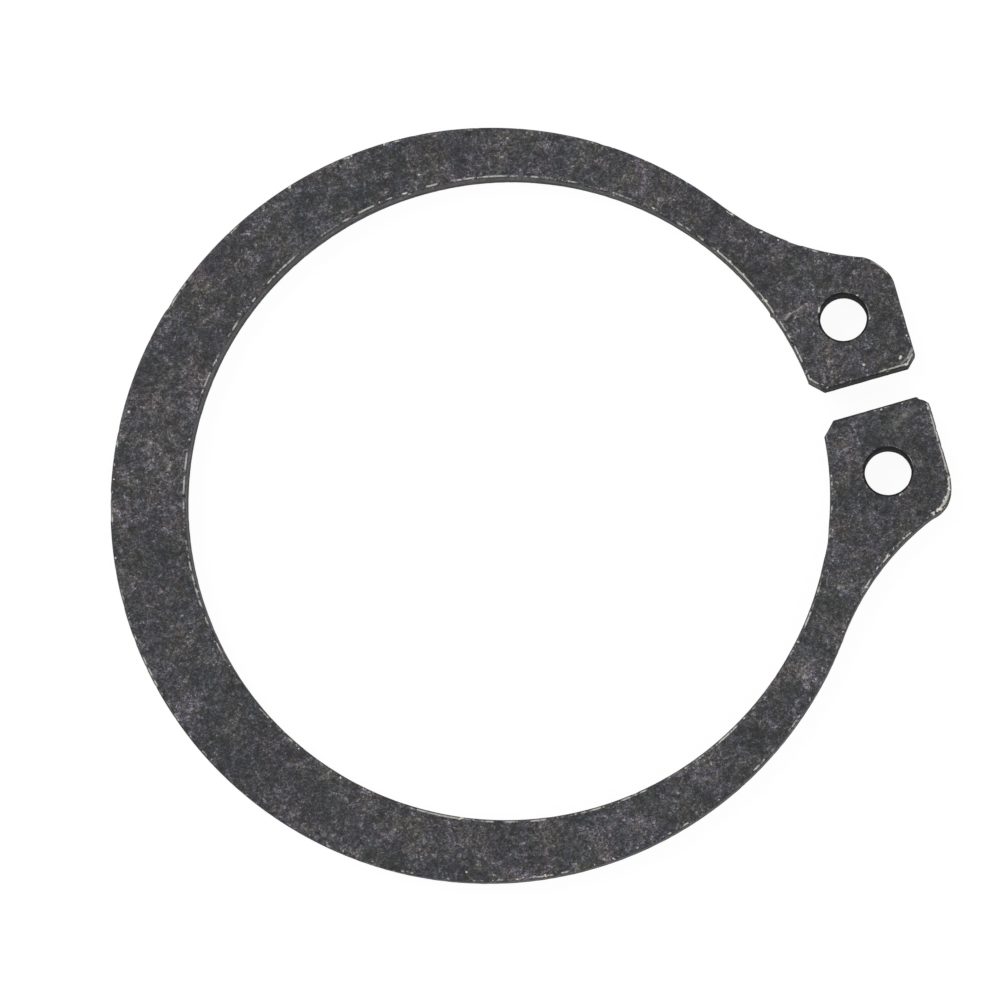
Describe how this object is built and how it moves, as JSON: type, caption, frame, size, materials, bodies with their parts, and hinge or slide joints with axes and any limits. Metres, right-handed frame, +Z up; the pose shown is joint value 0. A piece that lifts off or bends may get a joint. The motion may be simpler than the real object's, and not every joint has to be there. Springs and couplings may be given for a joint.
{
  "type": "external circlip",
  "caption": "Flat open spring-steel retaining ring for an external shaft groove: tapered section, a narrow gap, and swept lugs with plier holes.",
  "frame": {"origin": "centre of the relaxed bore, on the plane of the underside that the ring lies on", "axes": "+Z up through the thickness, towards the rounded face where the punch entered; +X from the bore's centre through the middle of the gap; +Y across the gap"},
  "size_m": [0.036, 0.0328, 0.0015],
  "materials": {
    "blackened_spring_steel": "black phosphated and oiled, mottled, with edges worn brighter"
  },
  "bodies": {
    "root": {"circlip": "blackened_spring_steel"}
  },
  "joints": []
}
